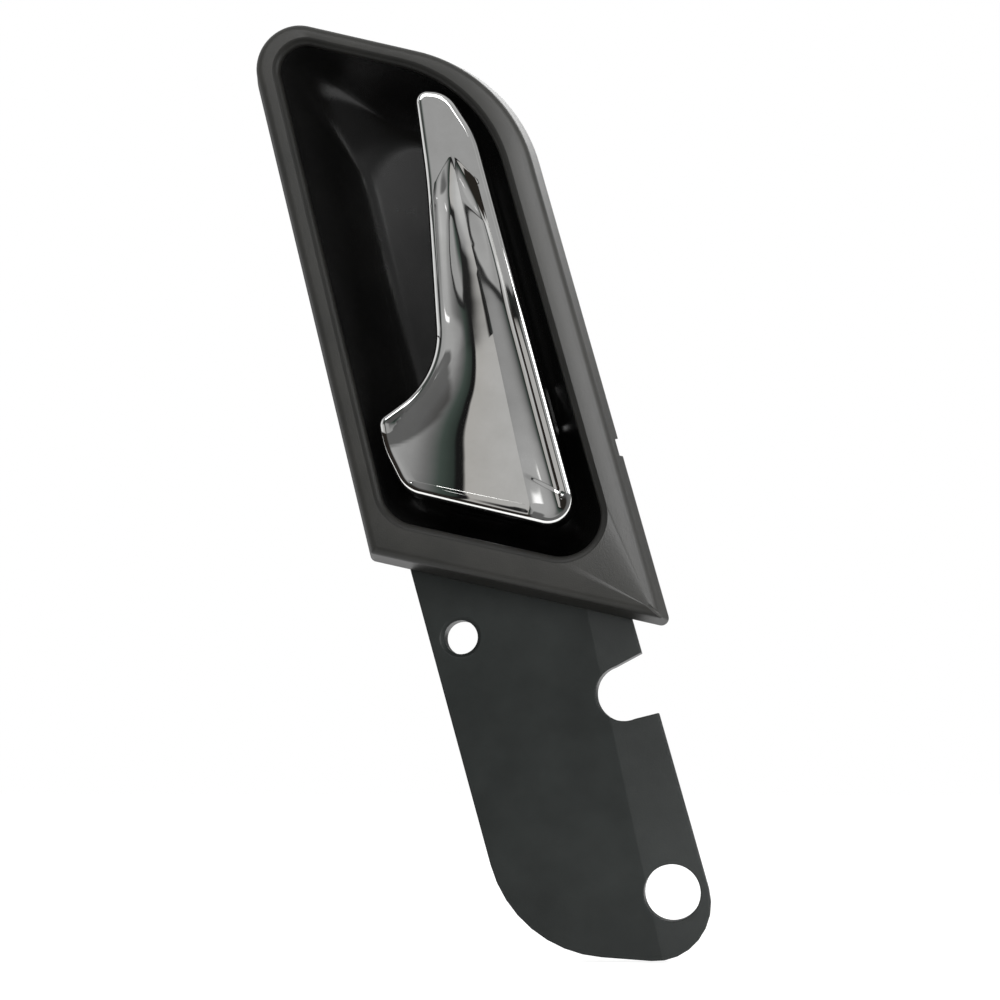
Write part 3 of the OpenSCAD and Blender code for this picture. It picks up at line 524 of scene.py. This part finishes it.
def make_lever(chrome):
    """The hollow plated cover: its folded face and its inside each close on the ridge."""
    inner = FACE_Y + SHELL
    ridge = [ridge_point(k / RIDGE_N) for k in range(RIDGE_N + 1)]
    rings = lever_rings(lever_ring(LEVER_EDGE + BORDER, 0), ridge, inner)
    n = RING_LEN
    verts = [v for ring in rings for v in ring]
    faces = [(i * n + j, (i + 1) * n + j, (i + 1) * n + (j + 1) % n, i * n + (j + 1) % n)
             for i in range(len(rings) - 1) for j in range(n)]
    front_0 = len(verts)
    verts += [(q[0], FACE_Y + hollow(k, 1, *q), q[1]) for k, q in enumerate(ridge)]
    back_0 = len(verts)
    verts += [(q[0], inner + hollow(k, 1, *q), q[1]) for k, q in enumerate(ridge)]
    last = (len(rings) - 1) * n
    for j in range(n):
        b = (j + 1) % n
        p, q = ridge_index(j), ridge_index(b)
        if p == q:
            faces += [(j, b, front_0 + q), (last + j, back_0 + q, last + b)]
        else:
            faces += [(j, b, front_0 + q, front_0 + p), (last + j, back_0 + p, back_0 + q, last + b)]
    obj = new_object("lever_cover", verts, faces, None, (chrome,))
    cut(obj, [rod(x, z, inner - OVERLAP, LEVER_POST_Y, LEVER_POST_R, LEVER_POST_SIDES)
              for x, z in LEVER_POSTS], "UNION")
    cut(obj, [rod(x, z, LEVER_HOLE_Y, LEVER_POST_Y + OVERLAP, LEVER_HOLE_R, LEVER_POST_SIDES)
              for x, z in LEVER_POSTS])
    smooth(obj, LEVER_CREASE)
    return obj


# Materials

RAMP_FROM, RAMP_TO = 0.3, 0.7          # the middle of a noise, over which a ramp runs
MOTTLE = 55                            # scale of the broad mottle in moulded plastic
SOFT_EDGE = 0.0002                     # rounding that metal edges catch light on


def new_material(name):
    m = bpy.data.materials.new(name)
    m.use_nodes = True
    return m, m.node_tree, m.node_tree.nodes["Principled BSDF"]


def noise(tree, scale, detail, rough, coords=None, stretch=None):
    """A noise in the object's own space."""
    n = tree.nodes.new("ShaderNodeTexNoise")
    n.inputs["Scale"].default_value = scale
    n.inputs["Detail"].default_value = detail
    n.inputs["Roughness"].default_value = rough
    c = coords or tree.nodes.new("ShaderNodeTexCoord")
    out = c.outputs["Object"]
    if stretch:
        mapping = tree.nodes.new("ShaderNodeMapping")
        mapping.inputs["Scale"].default_value = stretch
        tree.links.new(out, mapping.inputs["Vector"])
        out = mapping.outputs["Vector"]
    tree.links.new(out, n.inputs["Vector"])
    return n


def ramp(tree, source, lo, hi):
    """A colour ramp between two colours, driven by a 0 to 1 value."""
    r = tree.nodes.new("ShaderNodeValToRGB")
    r.color_ramp.elements[0].position, r.color_ramp.elements[1].position = RAMP_FROM, RAMP_TO
    r.color_ramp.elements[0].color = (*lo, 1)
    r.color_ramp.elements[1].color = (*hi, 1)
    tree.links.new(source, r.inputs["Fac"])
    return r


def level(tree, source, lo, hi):
    """A value mapped from 0..1 to lo..hi."""
    r = tree.nodes.new("ShaderNodeMapRange")
    r.inputs["To Min"].default_value = lo
    r.inputs["To Max"].default_value = hi
    tree.links.new(source, r.inputs["Value"])
    return r


def bump(tree, source, strength, distance, normal=None):
    b = tree.nodes.new("ShaderNodeBump")
    b.inputs["Strength"].default_value = strength
    b.inputs["Distance"].default_value = distance
    tree.links.new(source, b.inputs["Height"])
    if normal:
        tree.links.new(normal, b.inputs["Normal"])
    return b


def soft_edges(tree, radius):
    b = tree.nodes.new("ShaderNodeBevel")
    b.inputs["Radius"].default_value = radius
    return b


def moulded(name, dark, light, rough, grain, grain_depth, edge=None, specular=0.5):
    """Moulded plastic: fine grain, a faint mottle and patchy gloss."""
    m, tree, shader = new_material(name)
    coords = tree.nodes.new("ShaderNodeTexCoord")
    fine = noise(tree, grain, 3, 0.55, coords)
    broad = noise(tree, MOTTLE, 5, 0.6, coords)
    colour = ramp(tree, broad.outputs["Fac"], dark, light)
    tree.links.new(colour.outputs["Color"], shader.inputs["Base Color"])
    gloss = level(tree, broad.outputs["Fac"], rough[0], rough[1])
    tree.links.new(gloss.outputs["Result"], shader.inputs["Roughness"])
    normal = soft_edges(tree, edge).outputs["Normal"] if edge else None
    b = bump(tree, fine.outputs["Fac"], 0.6, grain_depth, normal)
    tree.links.new(b.outputs["Normal"], shader.inputs["Normal"])
    shader.inputs["Specular IOR Level"].default_value = specular
    return m


def metal(name, colour, rough, scratch, depth, stretch=(1, 1, 1)):
    """Metal with fine drawn or brushed marks."""
    m, tree, shader = new_material(name)
    marks = noise(tree, scratch, 4, 0.6, None, stretch)
    shade = ramp(tree, marks.outputs["Fac"], tuple(c * 0.86 for c in colour), colour)
    tree.links.new(shade.outputs["Color"], shader.inputs["Base Color"])
    gloss = level(tree, marks.outputs["Fac"], rough[0], rough[1])
    tree.links.new(gloss.outputs["Result"], shader.inputs["Roughness"])
    b = bump(tree, marks.outputs["Fac"], 0.3, depth, soft_edges(tree, SOFT_EDGE).outputs["Normal"])
    tree.links.new(b.outputs["Normal"], shader.inputs["Normal"])
    shader.inputs["Metallic"].default_value = 1.0
    return m


def chrome_plate():
    """Bright plating: a clean mirror with a faint ripple from the moulding under it."""
    m, tree, shader = new_material("plated")
    coords = tree.nodes.new("ShaderNodeTexCoord")
    ripple = noise(tree, 45, 2, 0.4, coords)
    film = noise(tree, 160, 4, 0.6, coords)
    shade = ramp(tree, film.outputs["Fac"], (0.80, 0.80, 0.785), (0.86, 0.86, 0.85))
    tree.links.new(shade.outputs["Color"], shader.inputs["Base Color"])
    gloss = level(tree, film.outputs["Fac"], 0.02, 0.04)
    tree.links.new(gloss.outputs["Result"], shader.inputs["Roughness"])
    b = bump(tree, ripple.outputs["Fac"], 0.12, 0.0006)
    tree.links.new(b.outputs["Normal"], shader.inputs["Normal"])
    shader.inputs["Metallic"].default_value = 1.0
    return m


TRIM = moulded("trim", (0.014, 0.014, 0.0128), (0.021, 0.0205, 0.0185), (0.40, 0.50), 2600, 0.00006,
               None, 0.3)
BOWL = moulded("bowl", (0.010, 0.010, 0.010), (0.015, 0.015, 0.0147), (0.16, 0.24), 1600, 0.00001)
BASE = moulded("base", (0.010, 0.0117, 0.0112), (0.0155, 0.018, 0.0172), (0.36, 0.46), 2000, 0.00003,
               0.0006, 0.22)
BLACK = moulded("lever_plastic", (0.010, 0.010, 0.010), (0.017, 0.017, 0.017), (0.4, 0.55), 2200, 0.00004,
                0.0004)
RUBBER = moulded("rubber", (0.010, 0.010, 0.010), (0.02, 0.02, 0.02), (0.7, 0.85), 1500, 0.0001,
                 0.0003, 0.3)
FOAM = moulded("foam", (0.02, 0.02, 0.02), (0.05, 0.05, 0.05), (0.85, 0.95), 900, 0.0006, None, 0.15)
FELT = moulded("felt", (0.05, 0.045, 0.04), (0.11, 0.10, 0.09), (0.9, 1.0), 1400, 0.0005, None, 0.1)
STEEL = metal("steel", (0.56, 0.57, 0.58), (0.25, 0.4), 900, 0.00003, (0.1, 1, 1))
SPRING = metal("spring_steel", (0.42, 0.43, 0.44), (0.28, 0.42), 1200, 0.00003)
ZINC = metal("zinc", (0.45, 0.46, 0.48), (0.35, 0.55), 700, 0.00004)
CHROME = chrome_plate()

for names, material in ((("base_plate", "rear_frame", "cable_bracket"), BASE),
                        (("lever_core", "hinge_arm", "crank_arm"), BLACK),
                        (("pivot_pin", "pivot_clip"), STEEL), (("return_spring",), SPRING),
                        (("rest_buffer", "stop_buffer"), RUBBER),
                        (("cover_screws", "lever_screws"), ZINC),
                        (("rim_foam",), FOAM), (("felt_pads",), FELT)):
    for node in names:
        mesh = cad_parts[node].data
        mesh.materials.clear()
        mesh.materials.append(material)

bezel = make_bezel(TRIM)
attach(bezel, "housing")
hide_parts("bezel")

bowl = make_bowl(TRIM, BOWL)
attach(bowl, "housing")
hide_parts("finger_bowl")

lever = make_lever(CHROME)
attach(lever, "lever")
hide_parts("lever_shell")

# The spring: a copy of the CAD coil with smooth shading, shown in its place
spring = bpy.data.objects.new("spring_coil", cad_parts["return_spring"].data.copy())
scene.collection.objects.link(spring)
smooth(spring, WIRE_CREASE)
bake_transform(spring)
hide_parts("return_spring")


# Camera and studio light

CAMERA_AT, CAMERA_TO = (0.083877, -0.625498, -0.035770), (0.011501, -0.014, 0.036565)
LENS, SENSOR = 82.67, 36
MIDDLE = (0, 0, 0.05)
SHEEN_TO, SHEEN_SIZE = (0.02, 0, 0.05), (0.3, 0.4)


def look_at(obj, place, target):
    obj.location = place
    obj.rotation_euler = (Vector(target) - Vector(place)).to_track_quat("-Z", "Y").to_euler()


camera = bpy.data.objects.new("camera", bpy.data.cameras.new("camera"))
scene.collection.objects.link(camera)
look_at(camera, CAMERA_AT, CAMERA_TO)
camera.data.sensor_width = SENSOR
camera.data.lens = LENS
scene.camera = camera


def softbox(name, place, target, size, power):
    data = bpy.data.lights.new(name, "AREA")
    data.shape = "RECTANGLE"
    data.size, data.size_y = size
    data.energy = power
    lamp = bpy.data.objects.new(name, data)
    scene.collection.objects.link(lamp)
    look_at(lamp, place, target)
    return lamp


def sheen(name, place, power, piece):
    """A lamp that puts a sheen on one satin piece and isn't mirrored in the plating."""
    lamp = softbox(name, place, SHEEN_TO, SHEEN_SIZE, power)
    lit_by = bpy.data.collections.new(name)
    lit_by.objects.link(piece)
    lamp.light_linking.receiver_collection = lit_by


softbox("key", (-0.22, -0.8, 0.62), MIDDLE, (0.5, 0.4), 3.2)
softbox("fill", (0.85, -0.5, 0.25), MIDDLE, (0.4, 0.6), 3.5)
softbox("back", (0.2, 0.7, 0.6), MIDDLE, (0.6, 0.4), 3)
sheen("plate sheen", (0.5, -0.85, 0.0), 6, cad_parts["base_plate"])
sheen("rim sheen", (0.46, -0.88, 0.38), 11, bezel)

# The room that bright metal reflects. Each wall is a list of (direction in x, grey level, tint).

WARM, GREEN, BROWN = (1.03, 1.0, 0.96), (0.8, 1.05, 0.92), (1.15, 1.0, 0.85)
UPPER = ((-1, 0.9), (-0.8, 0.75), (-0.6, 0.06), (-0.36, 0.05, GREEN), (-0.30, 0.10, GREEN), (-0.22, 0.22),
         (-0.14, 0.36), (0.1, 0.35), (0.3, 0.42), (0.7, 0.32), (0.9, 0.5), (1, 1.1))
MIDDLE_WALL = ((-1, 0.9), (-0.8, 0.6), (-0.5, 0.3), (-0.42, 0.02), (-0.16, 0.015), (-0.05, 0.06, GREEN),
               (0.08, 0.14), (0.25, 0.30), (0.6, 0.4), (1, 1.0))
LOWER = ((-1, 0.9), (-0.6, 0.5), (-0.21, 0.44, WARM), (-0.20, 0.01), (-0.16, 0.01), (-0.15, 0.035, GREEN),
         (-0.08, 0.07, GREEN), (0.0, 0.17), (0.08, 0.30), (0.22, 0.40), (0.6, 0.5), (1, 1.0))
GROUND = ((-1, 0.02, BROWN), (-0.1, 0.02, BROWN), (0.1, 0.12), (1, 0.2))

# Directions in z, or in y, between which one part of the room gives way to the next
RISE_LEAN, RISE_FROM = -0.27, 0.1      # the walls' edges drop so much to the right of this
MIDDLE_FOOT, LINE_FOOT, LINE_TOP, GROUND_TOP = (0.13, 0.17), (0.192, 0.196), (0.203, 0.212), (0.01, -0.04)
LINE, WINDOW, CEILING, BACKGROUND, FAR_BEHIND = 0.02, 1.4, 0.5, 1.0, 0.12
WINDOW_LEFT, WINDOW_RIGHT = (0.24, 0.26), (0.34, 0.32)
WINDOW_FOOT, WINDOW_TOP = (0.212, 0.215), (0.228, 0.225)
CEILING_FROM, SIDES_END, BEHIND_FROM = (0.62, 0.72), (-0.1, 0.1), (0.7, 0.85)
PLAIN = (0.45, 0.45, 0.445)            # what all but bright metal gets from the world


def sum_of(tree, kind, first, second):
    """Result of a plain operation on two sockets or numbers."""
    m = tree.nodes.new("ShaderNodeMath")
    m.operation = kind
    for socket, value in zip(m.inputs, (first, second)):
        if isinstance(value, (int, float)):
            socket.default_value = value
        else:
            tree.links.new(value, socket)
    return m.outputs[0]


def reach(tree, source, lo, hi):
    """0 below lo and 1 above hi, with a smooth run between them."""
    r = tree.nodes.new("ShaderNodeMapRange")
    r.interpolation_type = "SMOOTHSTEP"
    r.inputs["From Min"].default_value = lo
    r.inputs["From Max"].default_value = hi
    tree.links.new(source, r.inputs["Value"])
    return r.outputs["Result"]


def blend(tree, share, first, second):
    """Mixes two colours; each is a socket or a grey level."""
    m = tree.nodes.new("ShaderNodeMix")
    m.data_type = "RGBA"
    tree.links.new(share, m.inputs["Factor"])
    for name, value in (("A", first), ("B", second)):
        socket = [i for i in m.inputs if i.name == name and i.type == "RGBA"][0]
        if isinstance(value, (int, float)):
            socket.default_value = (value, value, value, 1)
        else:
            tree.links.new(value, socket)
    return [o for o in m.outputs if o.type == "RGBA"][0]


def wall(tree, x_socket, stops):
    """The colour of one wall by the direction in x."""
    share = tree.nodes.new("ShaderNodeMapRange")
    share.inputs["From Min"].default_value = -1
    tree.links.new(x_socket, share.inputs["Value"])
    r = tree.nodes.new("ShaderNodeValToRGB")
    elements = r.color_ramp.elements
    while len(elements) < len(stops):
        elements.new(0.5)
    for element, stop in zip(elements, stops):
        tint = stop[2] if len(stop) > 2 else (1, 1, 1)
        element.position = (stop[0] + 1) / 2
        element.color = (*(stop[1] * c for c in tint), 1)
    tree.links.new(share.outputs["Result"], r.inputs["Fac"])
    return r.outputs["Color"]


world = bpy.data.worlds.new("studio")
world.use_nodes = True
scene.world = world
tree = world.node_tree
plain = tree.nodes["Background"]
plain.inputs["Color"].default_value = (*PLAIN, 1)
direction = tree.nodes.new("ShaderNodeSeparateXYZ")
tree.links.new(tree.nodes.new("ShaderNodeTexCoord").outputs["Generated"], direction.inputs[0])
dx, dy, dz = direction.outputs
right = sum_of(tree, "MAXIMUM", sum_of(tree, "ADD", dx, RISE_FROM), 0)
rise = sum_of(tree, "ADD", dz, sum_of(tree, "MULTIPLY", right, RISE_LEAN))
room = blend(tree, reach(tree, rise, *MIDDLE_FOOT), wall(tree, dx, LOWER), wall(tree, dx, MIDDLE_WALL))
room = blend(tree, reach(tree, rise, *LINE_FOOT), room, LINE)
room = blend(tree, reach(tree, rise, *LINE_TOP), room, wall(tree, dx, UPPER))
room = blend(tree, reach(tree, rise, *GROUND_TOP), room, wall(tree, dx, GROUND))
across = sum_of(tree, "MULTIPLY", reach(tree, dx, *WINDOW_LEFT), reach(tree, dx, *WINDOW_RIGHT))
upright = sum_of(tree, "MULTIPLY", reach(tree, dz, *WINDOW_FOOT), reach(tree, dz, *WINDOW_TOP))
room = blend(tree, sum_of(tree, "MULTIPLY", across, upright), room, WINDOW)
room = blend(tree, reach(tree, dz, *CEILING_FROM), room, CEILING)
room = blend(tree, reach(tree, dy, *SIDES_END), room, BACKGROUND)
room = blend(tree, reach(tree, dy, *BEHIND_FROM), room, FAR_BEHIND)
mirrored = tree.nodes.new("ShaderNodeBackground")
tree.links.new(room, mirrored.inputs["Color"])
seen = tree.nodes.new("ShaderNodeBackground")
seen.inputs["Color"].default_value = (1, 1, 1, 1)
path = tree.nodes.new("ShaderNodeLightPath")


def choose(tree, share, first, second):
    """The first shader where the share is 0 and the second where it is 1."""
    m = tree.nodes.new("ShaderNodeMixShader")
    tree.links.new(share, m.inputs["Fac"])
    tree.links.new(first.outputs[0], m.inputs[1])
    tree.links.new(second.outputs[0], m.inputs[2])
    return m


lit = choose(tree, path.outputs["Is Glossy Ray"], plain, mirrored)
lit = choose(tree, path.outputs["Is Transmission Ray"], lit, seen)
lit = choose(tree, path.outputs["Is Camera Ray"], lit, seen)
tree.links.new(lit.outputs["Shader"], tree.nodes["World Output"].inputs["Surface"])

# The floor: white to the camera and in reflections, where only the shadow tones it

FLOOR_GAP, FLOOR_SIDE, FLOOR_FRONT, FLOOR_BACK = 0.0005, 3, -0.15, 4
FLOOR_COLOUR, FLOOR_ROUGH, SEEN_COLOUR, SEEN_GLOW = 0.7, 0.9, 0.4, 0.89


def floor_material():
    m, nodes, shader = new_material("floor")
    shader.inputs["Base Color"].default_value = (FLOOR_COLOUR, FLOOR_COLOUR, FLOOR_COLOUR, 1)
    shader.inputs["Roughness"].default_value = FLOOR_ROUGH
    rays = nodes.nodes.new("ShaderNodeLightPath")
    through = sum_of(nodes, "MAXIMUM", rays.outputs["Is Glossy Ray"], rays.outputs["Is Transmission Ray"])
    seen_by = sum_of(nodes, "MAXIMUM", rays.outputs["Is Camera Ray"], through)
    shade = nodes.nodes.new("ShaderNodeBsdfDiffuse")
    shade.inputs["Color"].default_value = (SEEN_COLOUR, SEEN_COLOUR, SEEN_COLOUR, 1)
    glow = nodes.nodes.new("ShaderNodeEmission")
    glow.inputs["Strength"].default_value = SEEN_GLOW
    both = nodes.nodes.new("ShaderNodeAddShader")
    nodes.links.new(shade.outputs[0], both.inputs[0])
    nodes.links.new(glow.outputs[0], both.inputs[1])
    pick = choose(nodes, seen_by, shader, both)
    nodes.links.new(pick.outputs[0], nodes.nodes["Material Output"].inputs["Surface"])
    return m


low = cad_box[0][2] - FLOOR_GAP
mesh = bpy.data.meshes.new("floor")
mesh.from_pydata([(-FLOOR_SIDE, FLOOR_FRONT, low), (FLOOR_SIDE, FLOOR_FRONT, low),
                  (FLOOR_SIDE, FLOOR_BACK, low), (-FLOOR_SIDE, FLOOR_BACK, low)], [], [(0, 1, 2, 3)])
mesh.materials.append(floor_material())
ground = bpy.data.objects.new("floor", mesh)
scene.collection.objects.link(ground)

scene.view_settings.view_transform = "Standard"
